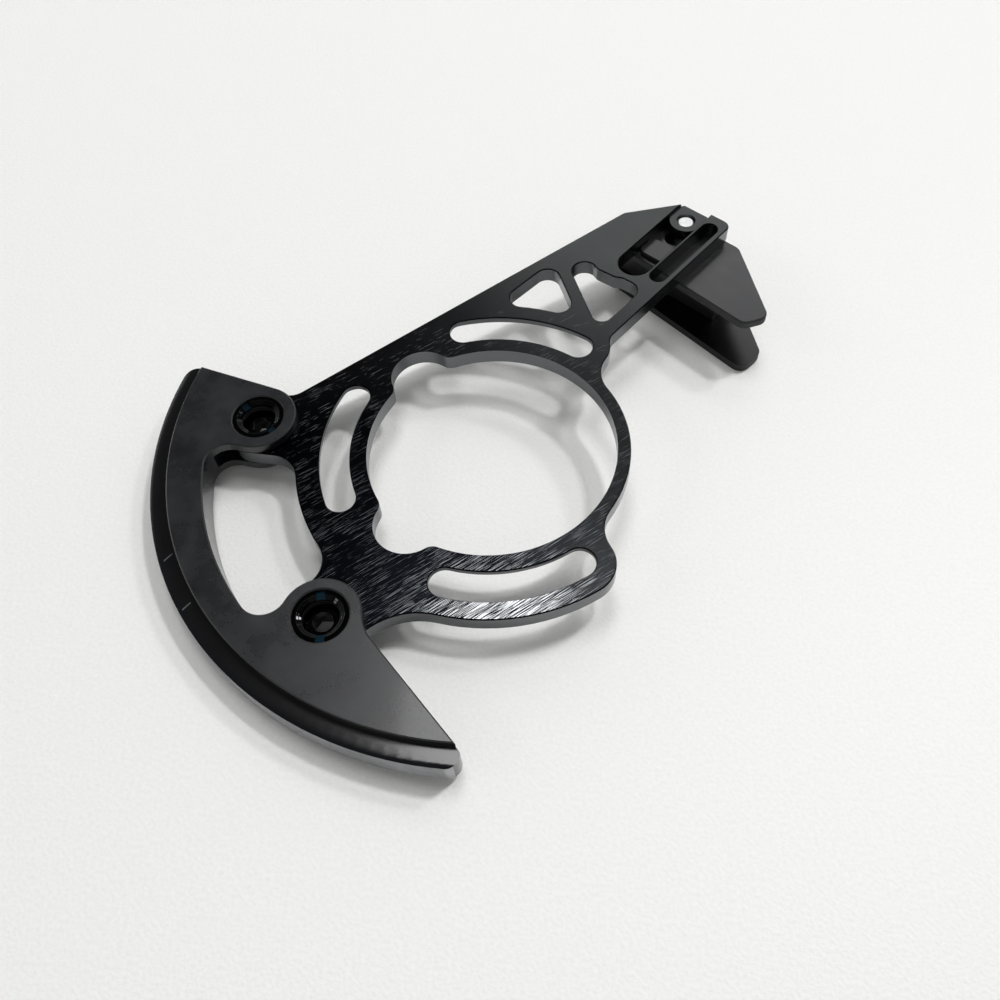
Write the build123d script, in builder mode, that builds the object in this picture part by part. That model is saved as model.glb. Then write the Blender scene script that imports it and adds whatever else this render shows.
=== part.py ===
"""Chain guide for a bicycle bottom bracket: slotted backplate, lower bash guard and sliding top guide.

Millimetres. The origin is the bottom bracket axis on the inner face of the backplate, +Z points to the
bicycle frame, and the plate, the guard and the guide lie on the chain side below it.
"""
import os
from math import acos, asin, atan2, cos, degrees, hypot, radians, sin, sqrt, tan

from build123d import *

os.makedirs("parts", exist_ok=True)

# Clearances
slide_gap = 0.1
key_gap = 0.2
bolt_gap = 0.1
tab_gap = 0.4
thread_gap = 0.05
head_gap = 0.3

# Backplate
plate_t = 4.0
bore_r = 29.0
ring_wall = 3.0
bolt_circle_r = 36.5
slot_w = 7.0
slot_angles = (80.0, 180.0, 280.0)
slot_span = 47.0
lobe_margin = 4.3
lobe_overlap = 3.3
bulge_angles = (130.0, 230.0)
bulge_centre_r = 27.5
bulge_r = 7.7
bulge_fillet = 3.0
web_t = 1.3
pocket_w = 11.5
body_margin = 9.0
lobe_fillet = 8.5
tab_fillet = 7.0
tab_long_fillet = 16.0
tab_upper_fillet = 5.0

# Arm of the backplate, s along the arm and d to its left
arm_lag = 30.0
arm_end_s = 94.5
rib_over = 0.9
arm_edge_dist = 41.7
arm_edge_angle = 38.0
bevel_run = 13.3
arm_bevel_angle = 11.4
arm_root_fillet = 4.0
arm_corner_fillet = 2.4
arm_vertex_fillet = 2.0
frame_w = 4.0
frame_top_w = 2.7
window_slant = 8.6
strut_w = 3.4
strut_angle = 108.0
strut_s = 48.73
strut_d = 15.25
brace_wall = 2.35
brace_d = 14.6
brace_angle = 145.0
swell_h = 0.8
swell_fillet = 1.5
window_fillet = 3.3
window_tip_fillet = 2.6
track_w = 8.7
track_d = 11.05
track_low_s = 67.7
slit_w = 4.2
rib_w = 0.9
slit_low_s = 67.8
slit_end = 4.3
pad_end = 4.5
pad_drop = 0.9
pad_land = 1.5
edge_break = 0.25

# Bash guard
boss_angles = (172.9, 233.3)
boss_insets = (22.5, 22.6)
boss_r = (9.0, 8.7)
tab_r = (8.9, 8.5)
guard_centre = (-0.85, 2.87)
rim_r = 78.4
rim_w = 4.3
rim_rise = 0.65
rim_mid_h = 0.1
rim_round = 0.4
rim_drop = 0.12
hollow_under = 1.0
guard_wall = 12.35
land_h = 2.4
lower_flange_t = 2.2
end_angle = 160.7
end_lip = 0.95
tip_angle = -49.1
tip_offset = 5.1
tip_reach = 1.0
tip_end_angle = -95.0
bay_top_angle = 180.0
bay_top_fillet = 5.0
bay_low_r = 5.2
relief_out = 8.0
relief_side = 14.0
relief_fillet = 2.0
tip_fillet = 10.0
guard_corner_fillet = 3.5
tip_corner_fillet = 2.8
tip_edge_fillet = 1.0
guard_edge_break = 0.3

# Fasteners of the guard
sleeve_r = 5.0
sleeve_flange_r = 6.0
sleeve_flange_t = 1.1
flange_sink = 0.35
thread_r = 4.0
notch_w = 2.0
notch_depth = 2.2
notch_sink = 0.7
lead_w = 0.9
lead_h = 0.5
notch_angles = (137.0, 97.0)
sleeve_short = 0.3
bolt_short = 1.8
bolt_bore_r = 2.3
hex_af = 5.0
hex_depth = 3.2

# Top guide
cheek_t = 2.1
channel_w = 11.4
cheek_low_s = 74.0
cheek_slant = 2.7
cheek_flare = 1.8
cheek_left_d = 22.6
roof_left_d = 24.6
roof_left_s = 86.0
cheek_right_d = -24.7
cheek_nose = 3.7
outer_nose = 0.4
nose_lift = 3.4
shoulder_drop = 3.5
cheek_shoulder_d = -4.2
cheek_step_d = 0.6
cheek_fillet = 3.0
guide_over = 2.5
roof_step = 5.0
roof_end_d = -8.0
seat_t = 4.5
guide_up = 4.5
guide_down = 1.0
key_step = 4.0
key_l = 6.0
key_h = 1.2
key_fillet = 1.5
guide_edge_break = 0.4

# Screw and washer of the top guide
screw_r = 2.5
screw_short = 0.6
screw_chamfer = 0.6
screw_hex_af = 4.0
head_r = 4.25
head_h = 5.0
screw_hex_depth = 3.0
washer_r = 4.5
washer_t = 1.0
head_wall = 1.2

# Derived values
boss_radii = [rim_r - inset for inset in boss_insets]
land_r = rim_r - rim_w
bay_r = rim_r - guard_wall
lobe_r = slot_w / 2 + lobe_margin
lobe_outer_r = bolt_circle_r + lobe_r
ring_r = max(bore_r + ring_wall, bolt_circle_r - lobe_r + lobe_overlap)
body_r = bolt_circle_r + body_margin
lobe_turn = degrees(acos((ring_r ** 2 + bolt_circle_r ** 2 - lobe_r ** 2) / (2 * ring_r * bolt_circle_r)))
arm_angle = slot_angles[0] - arm_lag
arm_vertex_s = arm_end_s - bevel_run
pad_s = arm_end_s - pad_end
slit_high_s = arm_end_s - slit_end
slit_d = track_d - track_w / 2 - rib_w - slit_w / 2
brace_s = track_low_s - track_w / 2 - brace_wall
guide_end_s = arm_end_s + guide_over
cheek_shoulder_s = guide_end_s - shoulder_drop
cheek_nose_s = cheek_low_s + nose_lift
roof_s = cheek_low_s + roof_step
key_s = cheek_low_s + key_step
arm_way = (cos(radians(arm_angle)), sin(radians(arm_angle)), 0)
arm_plane = Plane(origin=(0, 0, 0), x_dir=arm_way, z_dir=(0, 0, 1))
flange_seat = sleeve_flange_t + flange_sink
head_room = washer_r + head_gap + head_wall
guard_low = -(plate_t + lower_flange_t)
tol = 0.01


def polar(r, a):
    return (r * cos(radians(a)), r * sin(radians(a)))


def on_arm(s, d):
    c = cos(radians(arm_angle))
    k = sin(radians(arm_angle))
    return (s * c - d * k, s * k + d * c)


def cross_lines(p, a, q, b):
    """Where the line through p at angle a meets the line through q at angle b."""
    ux, uy = polar(1, a)
    vx, vy = polar(1, b)
    t = ((q[0] - p[0]) * vy - (q[1] - p[1]) * vx) / (ux * vy - uy * vx)
    return (p[0] + t * ux, p[1] + t * uy)


def line_to_circle(p, a, centre, r, way=1):
    """Where the line from p at angle a leaves the circle, or enters it with way = -1."""
    ux, uy = polar(1, a)
    x = p[0] - centre[0]
    y = p[1] - centre[1]
    b = x * ux + y * uy
    t = -b + way * sqrt(b * b - (x * x + y * y - r * r))
    return (p[0] + t * ux, p[1] + t * uy)


def angle_of(p, centre=(0, 0)):
    return degrees(atan2(p[1] - centre[1], p[0] - centre[0]))


def shifted(p, r, a):
    return (p[0] + r * cos(radians(a)), p[1] + r * sin(radians(a)))


def in_boss_frame(n, along, across):
    """Point at a distance along the ray through boss n, and across it to the left."""
    return shifted(polar(along, boss_angles[n]), across, boss_angles[n] + 90)


boss_points = [polar(r, a) for r, a in zip(boss_radii, boss_angles)]

# Corners of the arm
edge_foot = polar(arm_edge_dist, arm_edge_angle + 90)
arm_vertex = cross_lines(on_arm(arm_vertex_s, 0), arm_angle + 90, edge_foot, arm_edge_angle)
arm_corner = cross_lines(arm_vertex, arm_bevel_angle, on_arm(arm_end_s, 0), arm_angle + 90)
edge_start = cross_lines(edge_foot, arm_edge_angle, boss_points[0], boss_angles[0])
tab_1_side = cross_lines(edge_foot, arm_edge_angle, in_boss_frame(0, 0, -tab_r[0]), boss_angles[0])

# Corners of the two windows in the arm
strut_point = on_arm(strut_s, strut_d)
strut_left = shifted(strut_point, strut_w / 2, strut_angle + 90)
strut_right = shifted(strut_point, strut_w / 2, strut_angle - 90)
inset_foot = polar(arm_edge_dist - frame_top_w, arm_edge_angle + 90)
window_edge_angle = arm_edge_angle + window_slant
brace_point = on_arm(brace_s, brace_d)
window_1_top = cross_lines(inset_foot, arm_edge_angle, strut_left, strut_angle)
window_1_left = line_to_circle(window_1_top, window_edge_angle + 180, (0, 0), lobe_outer_r, -1)
window_1_low = line_to_circle(window_1_top, strut_angle + 180, (0, 0), lobe_outer_r, -1)
window_2_top = cross_lines(brace_point, brace_angle, strut_right, strut_angle)
window_2_right = cross_lines(brace_point, brace_angle, on_arm(0, frame_w), arm_angle)
window_2_low = cross_lines(on_arm(0, frame_w), arm_angle, strut_right, strut_angle)

# The brace swells towards the window below the round end of the track, between the two round corners
brace_l = hypot(window_2_right[0] - window_2_top[0], window_2_right[1] - window_2_top[1])
top_turn = tan(radians(brace_angle - strut_angle) / 2)
side_turn = tan(radians(180 - brace_angle + arm_angle) / 2)
window_top_fillet = min(window_fillet, 0.4 * brace_l * top_turn)
brace_free = brace_l - window_top_fillet / top_turn - window_fillet / side_turn


def on_brace(share, h):
    """Point at a share of the straight edge of the brace, and at a height into the window."""
    along = window_top_fillet / top_turn + share * brace_free
    return shifted(shifted(window_2_top, along, brace_angle - 180), h, brace_angle + 90)


swell = [on_brace(0.04, 0), on_brace(0.19, swell_h), on_brace(0.62, swell_h), on_brace(0.77, 0)]

# Backplate: one milled aluminium plate
with BuildSketch() as plate_outline:
    Circle(ring_r)
    for angle in slot_angles:
        lobe_path = CenterArc((0, 0), bolt_circle_r, angle - slot_span / 2, slot_span, mode=Mode.PRIVATE)
        SlotArc(lobe_path, height=2 * lobe_r)
    with BuildLine():
        body_arc = CenterArc((0, 0), body_r, arm_edge_angle + 90, boss_angles[1] - arm_edge_angle - 90)
        Polyline(body_arc @ 1, (0, 0), body_arc @ 0)
    make_face()
    with BuildLine():
        skirt_arc = CenterArc((0, 0), lobe_outer_r, boss_angles[1], slot_angles[2] - boss_angles[1])
        Polyline(skirt_arc @ 1, (0, 0), skirt_arc @ 0)
    make_face()
    far_foot = polar(2 * arm_edge_dist, arm_edge_angle + 90)
    Polygon(
        shifted(edge_foot, rim_r, arm_edge_angle),
        shifted(edge_foot, -rim_r, arm_edge_angle),
        shifted(far_foot, -rim_r, arm_edge_angle),
        shifted(far_foot, rim_r, arm_edge_angle),
        align=None,
        mode=Mode.SUBTRACT,
    )
    Polygon((0, 0), on_arm(arm_end_s, 0), arm_corner, arm_vertex, edge_start, align=None)
    rib_edge_d = track_d - track_w / 2
    Polygon(
        on_arm(pad_s, 0),
        on_arm(arm_end_s + rib_over, 0),
        on_arm(arm_end_s + rib_over, rib_edge_d),
        on_arm(pad_s, rib_edge_d),
        align=None,
    )
    for n in (0, 1):
        with BuildLine():
            side_1 = Line(in_boss_frame(n, ring_r, tab_r[n]), in_boss_frame(n, boss_radii[n], tab_r[n]))
            side_2 = Line(in_boss_frame(n, boss_radii[n], -tab_r[n]), in_boss_frame(n, ring_r, -tab_r[n]))
            ThreePointArc(side_1 @ 1, in_boss_frame(n, boss_radii[n] + tab_r[n], 0), side_2 @ 0)
            Line(side_2 @ 1, side_1 @ 0)
        make_face()
    tab_reach = boss_radii[1] - sqrt(lobe_outer_r ** 2 - tab_r[1] ** 2)
    tab_low_fillet = min(tab_long_fillet, tab_reach * (1 + tab_reach / 40))
    corner_fillets = (
        (in_boss_frame(0, body_r, tab_r[0]), tab_fillet),
        (in_boss_frame(1, body_r, -tab_r[1]), tab_fillet),
        (in_boss_frame(1, lobe_outer_r, tab_r[1]), tab_low_fillet),
        (tab_1_side, tab_upper_fillet),
        (on_arm(lobe_outer_r, 0), arm_root_fillet),
        (polar(ring_r, slot_angles[0] - slot_span / 2 - lobe_turn), lobe_fillet),
        (polar(ring_r, slot_angles[2] + slot_span / 2 + lobe_turn), lobe_fillet),
        (on_arm(arm_end_s + rib_over, 0), arm_corner_fillet),
        (arm_vertex, arm_vertex_fillet),
    )
    for point, radius in corner_fillets:
        fillet(plate_outline.vertices().sort_by_distance(point)[0], radius)

with BuildSketch() as bore_outline:
    Circle(bore_r)
    for angle in bulge_angles:
        with Locations(polar(bulge_centre_r, angle)):
            Circle(bulge_r)
    fillet(bore_outline.vertices(), bulge_fillet)

with BuildSketch() as window_outline:
    with BuildLine():
        arc_from = angle_of(window_1_low)
        Line(window_1_left, window_1_top)
        Line(window_1_top, window_1_low)
        CenterArc((0, 0), lobe_outer_r, arc_from, angle_of(window_1_left) - arc_from)
    make_face()
    Polygon(window_2_top, window_2_right, window_2_low, align=None)
    fillet(window_outline.vertices().sort_by_distance(window_2_low)[0], window_tip_fillet)
    sharp = window_outline.vertices().filter_by(lambda v: any(
        hypot(v.X - q[0], v.Y - q[1]) < tol
        for q in (window_1_top, window_1_left, window_1_low, window_2_right)
    ))
    fillet(sharp, window_fillet)
    fillet(window_outline.vertices().sort_by_distance(window_2_top)[0], window_top_fillet)
    Polygon(*swell, align=None, mode=Mode.SUBTRACT)
    for point in swell:
        fillet(window_outline.vertices().sort_by_distance(point)[0], swell_fillet)

with BuildPart() as backplate:
    with BuildSketch(Plane.XY.offset(-plate_t)):
        add(plate_outline.sketch)
        add(window_outline.sketch, mode=Mode.SUBTRACT)
    extrude(amount=plate_t)
    for width, depth in ((slot_w, plate_t), (pocket_w, plate_t - web_t)):
        with BuildSketch(Plane.XY.offset(-plate_t)):
            for angle in slot_angles:
                first = angle - slot_span / 2
                slot_path = CenterArc((0, 0), bolt_circle_r, first, slot_span, mode=Mode.PRIVATE)
                SlotArc(slot_path, height=width)
        extrude(amount=depth, mode=Mode.SUBTRACT)
    with BuildSketch(arm_plane.offset(-plate_t)):
        with Locations(((track_low_s + pad_s) / 2, track_d)):
            Rectangle(pad_s - track_low_s, track_w)
        with Locations((track_low_s, track_d)):
            Circle(track_w / 2)
        with Locations((pad_s, track_d)):
            Circle(track_w / 2, mode=Mode.SUBTRACT)
            Rectangle(2 * pad_land, track_w, mode=Mode.SUBTRACT)
        with Locations(((slit_low_s + slit_high_s) / 2, slit_d)):
            SlotCenterToCenter(slit_high_s - slit_low_s, slit_w)
    extrude(amount=plate_t, mode=Mode.SUBTRACT)
    with BuildSketch(arm_plane.offset(-pad_drop)):
        with Locations((arm_end_s + rib_over, track_d)):
            Rectangle(2 * (arm_end_s + rib_over - pad_s + track_w / 2), track_w)
    extrude(amount=pad_drop, mode=Mode.SUBTRACT)
    with BuildSketch(arm_plane.offset(-plate_t)):
        with Locations((pad_s, track_d)):
            Circle(screw_r + thread_gap)
    extrude(amount=plate_t, mode=Mode.SUBTRACT)
    with BuildSketch(Plane.XY.offset(-plate_t)):
        with Locations(*boss_points):
            Circle(sleeve_r + bolt_gap)
    extrude(amount=plate_t, mode=Mode.SUBTRACT)
    face_edges = backplate.edges().filter_by_position(Axis.Z, -tol, tol)
    chamfer(face_edges, edge_break)
    with BuildSketch(Plane.XY.offset(-plate_t)):
        add(bore_outline.sketch)
    extrude(amount=plate_t, mode=Mode.SUBTRACT)
backplate.part.label = "backplate"
export_step(backplate.part, "parts/backplate.step")

# Bash guard: one moulded piece with a land above the plate and a lower rim
end_tangent = shifted(boss_points[0], boss_r[0], end_angle - 90)
lip_foot = line_to_circle(end_tangent, end_angle, guard_centre, land_r + tol)
lip_start = shifted(lip_foot, end_lip, end_angle - 75)
end_corner = line_to_circle(lip_start, end_angle, guard_centre, rim_r)
tip_start = shifted(boss_points[1], tip_offset, tip_angle + 90)
tip_corner = line_to_circle(tip_start, tip_angle, guard_centre, land_r + tip_reach)
tip_end = line_to_circle(tip_corner, tip_end_angle, guard_centre, rim_r)
bay_top = polar(bay_r, bay_top_angle)
bay_low_reach = bay_r - bay_low_r
bay_low_side = boss_r[1] + bay_low_r
bay_low_sum = bay_low_reach ** 2 + boss_radii[1] ** 2 - bay_low_side ** 2
bay_low_angle = boss_angles[1] - degrees(acos(bay_low_sum / (2 * bay_low_reach * boss_radii[1])))
bay_low_centre = polar(bay_low_reach, bay_low_angle)
bay_boss_angle = angle_of(boss_points[1], bay_low_centre)
bay_boss = shifted(bay_low_centre, bay_low_r, bay_boss_angle)
bay_reach = hypot(boss_points[0][0] - bay_top[0], boss_points[0][1] - bay_top[1])
bay_edge_angle = angle_of(boss_points[0], bay_top) - degrees(asin(boss_r[0] / bay_reach))
bay_tangent = shifted(boss_points[0], boss_r[0], bay_edge_angle - 90)
rim_from = angle_of(end_corner, guard_centre)
rim_span = (angle_of(tip_end, guard_centre) - rim_from) % 360

with BuildSketch() as guard_outline:
    with BuildLine():
        CenterArc(guard_centre, rim_r, rim_from, rim_span)
        Polyline(tip_end, tip_corner, tip_start, boss_points[1], bay_boss)
        CenterArc(bay_low_centre, bay_low_r, bay_boss_angle, -((bay_boss_angle - bay_low_angle) % 360))
        CenterArc((0, 0), bay_r, bay_low_angle, bay_top_angle - bay_low_angle)
        Polyline(bay_top, bay_tangent, boss_points[0], end_tangent, lip_foot, lip_start, end_corner)
    make_face()
    for n in (0, 1):
        with Locations(boss_points[n]):
            Circle(boss_r[n])
    guard_fillets = (
        (bay_top, bay_top_fillet),
        (line_to_circle(tip_start, tip_angle, boss_points[1], boss_r[1]), tip_fillet),
        (end_corner, min(guard_corner_fillet, 0.88 * rim_w)),
        (tip_end, min(tip_corner_fillet, 0.85 * (rim_w - tip_reach))),
        (tip_corner, min(tip_edge_fillet, 0.31 * (rim_w - tip_reach))),
    )
    for point, radius in guard_fillets:
        fillet(guard_outline.vertices().sort_by_distance(point)[0], radius)

# The rim is hollowed towards the step and rounded off at its outer edge; the land covers where the hollow starts
rim_section = Plane(origin=(*guard_centre, 0), x_dir=(1, 0, 0), z_dir=(0, -1, 0))

with BuildPart() as bash_guard:
    with BuildSketch(Plane.XY.offset(guard_low)):
        add(guard_outline.sketch)
    extrude(amount=rim_rise - guard_low)
    with BuildSketch(rim_section):
        with BuildLine():
            hollow = Spline(
                (land_r - hollow_under, rim_rise),
                (land_r + rim_w / 2, rim_mid_h),
                (rim_r - rim_round, 0),
                (rim_r, -rim_drop),
            )
            Polyline(hollow @ 1, (rim_r + rim_w, -rim_drop), (rim_r + rim_w, rim_rise), hollow @ 0)
        make_face()
    revolve(axis=Axis((*guard_centre, 0), (0, 0, 1)), mode=Mode.SUBTRACT)
    with BuildSketch():
        add(guard_outline.sketch)
        with Locations(guard_centre):
            Circle(land_r, mode=Mode.INTERSECT)
    extrude(amount=land_h)
    with BuildSketch(Plane.XY.offset(-plate_t - slide_gap)) as tab_pocket:
        add(plate_outline.sketch)
        offset(amount=tab_gap)
        for n, side in ((0, 1), (1, -1)):
            relief_mid = in_boss_frame(n, boss_radii[n], side * relief_side / 2)
            with Locations(Location((relief_mid[0], relief_mid[1]), boss_angles[n])):
                RectangleRounded(2 * relief_out, relief_side, relief_fillet)
    extrude(amount=plate_t + 2 * slide_gap, mode=Mode.SUBTRACT)
    with BuildSketch(Plane.XY.offset(guard_low)):
        with Locations(*boss_points):
            Circle(sleeve_r + bolt_gap)
    extrude(amount=land_h - guard_low, mode=Mode.SUBTRACT)
    with BuildSketch(Plane.XY.offset(land_h)):
        with Locations(*boss_points):
            Circle(sleeve_flange_r + bolt_gap)
    extrude(amount=-flange_seat, mode=Mode.SUBTRACT)
    with BuildSketch(Plane.XY.offset(guard_low)):
        with Locations(*boss_points):
            Circle(sleeve_flange_r + bolt_gap)
    extrude(amount=flange_seat, mode=Mode.SUBTRACT)
    land_edges = bash_guard.edges().filter_by_position(Axis.Z, land_h - tol, land_h + tol)
    chamfer(land_edges, guard_edge_break)
bash_guard.part.label = "bash_guard"
export_step(bash_guard.part, "parts/bash_guard.step")

# Sleeve nuts of the guard, notched for a peg wrench
nut_seat = land_h - flange_seat
bolt_seat = guard_low + flange_seat
with BuildPart() as bash_sleeve_nuts:
    with BuildSketch(Plane.XY.offset(nut_seat)):
        with Locations(*boss_points):
            Circle(sleeve_flange_r)
    extrude(amount=sleeve_flange_t)
    with BuildSketch(Plane.XY.offset(nut_seat)):
        with Locations(*boss_points):
            Circle(sleeve_r)
    extrude(amount=bolt_seat - nut_seat + sleeve_short)
    with BuildSketch(Plane.XY.offset(bolt_seat)):
        with Locations(*boss_points):
            Circle(thread_r + thread_gap)
    extrude(amount=nut_seat + sleeve_flange_t - bolt_seat, mode=Mode.SUBTRACT)
    with Locations(*[(x, y, nut_seat + sleeve_flange_t - lead_h) for x, y in boss_points]):
        Cone(
            thread_r + thread_gap,
            thread_r + thread_gap + lead_w,
            lead_h,
            align=(Align.CENTER, Align.CENTER, Align.MIN),
            mode=Mode.SUBTRACT,
        )
    for point, turn in zip(boss_points, notch_angles):
        with BuildSketch(Plane.XY.offset(nut_seat + sleeve_flange_t)):
            with Locations(Location((point[0], point[1]), turn)):
                with Locations((sleeve_flange_r, 0), (-sleeve_flange_r, 0)):
                    Rectangle(2 * notch_depth, notch_w)
        extrude(amount=-notch_sink, mode=Mode.SUBTRACT)
bash_sleeve_nuts.part.label = "bash_sleeve_nuts"
export_step(bash_sleeve_nuts.part, "parts/bash_sleeve_nuts.step")

# Bolts of the guard, hollow, with a hexagon in the head
with BuildPart() as bash_bolts:
    with BuildSketch(Plane.XY.offset(bolt_seat)):
        with Locations(*boss_points):
            Circle(sleeve_flange_r)
    extrude(amount=-sleeve_flange_t)
    with BuildSketch(Plane.XY.offset(bolt_seat)):
        with Locations(*boss_points):
            Circle(thread_r)
    extrude(amount=nut_seat - bolt_seat - bolt_short)
    with BuildSketch(Plane.XY.offset(bolt_seat - sleeve_flange_t)):
        with Locations(*boss_points):
            RegularPolygon(hex_af / 2, 6, major_radius=False)
    extrude(amount=hex_depth, mode=Mode.SUBTRACT)
    with BuildSketch(Plane.XY.offset(bolt_seat - sleeve_flange_t)):
        with Locations(*boss_points):
            Circle(bolt_bore_r)
    extrude(amount=nut_seat - bolt_seat - bolt_short + sleeve_flange_t, mode=Mode.SUBTRACT)
bash_bolts.part.label = "bash_bolts"
export_step(bash_bolts.part, "parts/bash_bolts.step")

# Top guide: one moulded channel, open towards the bottom bracket, with a key in the track of the arm
guide_top = -plate_t - slide_gap
guide_low = guide_top - 2 * cheek_t - channel_w
track_high = pad_s + guide_down
track_low = pad_s - guide_up


def cheek(low_right_s, nose):
    """Outline of one cheek on the arm plane, its lower right corner at low_right_s and cut back by nose."""
    with BuildSketch(mode=Mode.PRIVATE) as outline:
        Polygon(
            (cheek_low_s, cheek_left_d),
            (low_right_s, cheek_right_d + nose),
            (cheek_nose_s, cheek_right_d),
            (cheek_shoulder_s, cheek_shoulder_d),
            (cheek_shoulder_s, cheek_step_d),
            (guide_end_s, track_d - head_room),
            (guide_end_s, track_d + head_room),
            (roof_left_s, roof_left_d),
            (roof_s, roof_left_d),
            align=None,
        )
        fillet(outline.vertices(), cheek_fillet)
    return outline.sketch


with BuildPart() as top_guide:
    with BuildSketch(arm_plane.offset(guide_top)):
        add(cheek(cheek_low_s - cheek_slant, cheek_nose))
    extrude(amount=guide_low - guide_top)
    with BuildSketch(arm_plane.offset(guide_low)):
        add(cheek(cheek_low_s - cheek_slant - cheek_flare, outer_nose))
    extrude(amount=cheek_t)
    with BuildSketch(arm_plane.offset(guide_low + cheek_t)):
        Polygon(
            (roof_s, 2 * cheek_left_d),
            (roof_s, roof_end_d),
            (guide_end_s, roof_end_d),
            (guide_end_s, 2 * cheek_right_d),
            (0, 2 * cheek_right_d),
            (0, 2 * cheek_left_d),
            align=None,
        )
    extrude(amount=channel_w, mode=Mode.SUBTRACT)
    with BuildSketch(arm_plane.offset(guide_top)):
        with Locations((key_s, track_d)):
            RectangleRounded(key_l, track_w - 2 * key_gap, key_fillet)
    extrude(amount=key_h)
    with BuildSketch(arm_plane.offset(guide_low)):
        with Locations(((track_low + track_high) / 2, track_d)):
            SlotCenterToCenter(track_high - track_low, 2 * (screw_r + head_gap))
    extrude(amount=guide_top - guide_low, mode=Mode.SUBTRACT)
    with BuildSketch(arm_plane.offset(guide_low)):
        with Locations(((track_low + track_high) / 2, track_d)):
            SlotCenterToCenter(track_high - track_low, 2 * (washer_r + head_gap))
    extrude(amount=guide_top - guide_low - seat_t, mode=Mode.SUBTRACT)
    flat_faces = top_guide.faces().filter_by(Axis.Z)
    inner_face = flat_faces.filter_by_position(Axis.Z, guide_top - tol, guide_top + tol)
    chamfer(inner_face.sort_by(SortBy.AREA)[-1].outer_wire().edges(), guide_edge_break)
top_guide.part.label = "top_guide"
export_step(top_guide.part, "parts/top_guide.step")

# Screw and washer that clamp the top guide to the pad of the arm
seat_z = guide_top - seat_t - slide_gap
with BuildPart() as guide_washer:
    with BuildSketch(arm_plane.offset(seat_z)):
        with Locations((pad_s, track_d)):
            Circle(washer_r)
            Circle(screw_r + bolt_gap, mode=Mode.SUBTRACT)
    extrude(amount=-washer_t)
guide_washer.part.label = "guide_washer"
export_step(guide_washer.part, "parts/guide_washer.step")

head_z = seat_z - washer_t
with BuildPart() as guide_screw:
    with BuildSketch(arm_plane.offset(head_z)):
        with Locations((pad_s, track_d)):
            Circle(screw_r)
    extrude(amount=-pad_drop - screw_short - head_z)
    chamfer(guide_screw.faces().sort_by(Axis.Z)[-1].edges(), screw_chamfer)
    with BuildSketch(arm_plane.offset(head_z)):
        with Locations((pad_s, track_d)):
            Circle(head_r)
    extrude(amount=-head_h)
    with BuildSketch(arm_plane.offset(head_z - head_h)):
        with Locations((pad_s, track_d)):
            RegularPolygon(screw_hex_af / 2, 6, major_radius=False)
    extrude(amount=screw_hex_depth, mode=Mode.SUBTRACT)
guide_screw.part.label = "guide_screw"
export_step(guide_screw.part, "parts/guide_screw.step")
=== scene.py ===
# %% [markdown]
# # A bicycle chain guide
# The part is a flat black plate that bolts round the bottom bracket of a bicycle. A moulded guard hangs
# on its lower side and a moulded channel slides on its arm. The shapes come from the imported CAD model,
# so this lesson is about finishes: brushed anodised metal, satin nylon, glossy fasteners and soft light.

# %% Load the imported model
import math

import bmesh
import bpy
from mathutils import Matrix, Vector


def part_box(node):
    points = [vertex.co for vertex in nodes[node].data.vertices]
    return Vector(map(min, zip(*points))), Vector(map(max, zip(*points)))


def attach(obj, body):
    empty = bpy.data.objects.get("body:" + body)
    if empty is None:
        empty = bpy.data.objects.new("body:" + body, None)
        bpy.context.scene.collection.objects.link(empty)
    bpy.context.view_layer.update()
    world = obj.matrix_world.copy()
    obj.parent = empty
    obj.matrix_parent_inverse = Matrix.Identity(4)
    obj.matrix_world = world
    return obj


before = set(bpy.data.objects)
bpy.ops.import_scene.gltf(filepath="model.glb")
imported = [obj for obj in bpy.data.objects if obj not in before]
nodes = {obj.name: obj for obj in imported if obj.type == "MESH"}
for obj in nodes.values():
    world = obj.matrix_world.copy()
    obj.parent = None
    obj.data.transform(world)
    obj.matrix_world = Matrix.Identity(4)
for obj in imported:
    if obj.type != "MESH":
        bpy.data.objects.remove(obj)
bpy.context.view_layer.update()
MM = 0.001

# %% [markdown]
# ## One colour function and one node function
# Colours are written as they would be picked on a screen, in sRGB hex, and Blender's shaders want linear
# light, so one function turns the first into the second. Every material below is a small tree of nodes.
# One function adds a node, sets its options and joins its inputs, which keeps each material readable.

# %% Colour and node helpers
def linear(code):
    """Linear RGBA of an sRGB hex colour such as #1b1c1e."""
    made = []
    for i in (1, 3, 5):
        c = int(code[i:i + 2], 16) / 255
        made.append(c / 12.92 if c <= 0.04045 else ((c + 0.055) / 1.055) ** 2.4)
    return (*made, 1.0)


def node(tree, kind, inputs=None, **settings):
    """Adds a node. Settings are its options; inputs are plain values or the sockets to link from."""
    made = tree.nodes.new(kind)
    for name, value in settings.items():
        setattr(made, name, value)
    for name, value in (inputs or {}).items():
        if isinstance(value, bpy.types.NodeSocket):
            tree.links.new(value, made.inputs[name])
        else:
            made.inputs[name].default_value = value
    return made


def empty_material(name):
    """A new material with an empty tree, and that tree."""
    made = bpy.data.materials.new(name)
    made.use_nodes = True
    made.node_tree.nodes.clear()
    return made, made.node_tree


print("white in linear light:", linear("#ffffff"))

# %% [markdown]
# ## Faces, edges and walls
# On this part a flat face, a broken edge and a wall each have their own shade, on the plate and on the
# nylon alike. They could be told apart by painting the faces of the mesh one by one. The direction that
# a surface looks in does it without that: its upward share is 1 on a flat face, 0 on a wall, and lies
# between on an edge.

# %% How level a surface is
def levelness(tree, place):
    """The upward share of the surface's direction, without its sign."""
    facing = node(tree, "ShaderNodeSeparateXYZ", {"Vector": place.outputs["Normal"]})
    return node(tree, "ShaderNodeMath", {0: facing.outputs["Z"]}, operation="ABSOLUTE").outputs["Value"]


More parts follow.
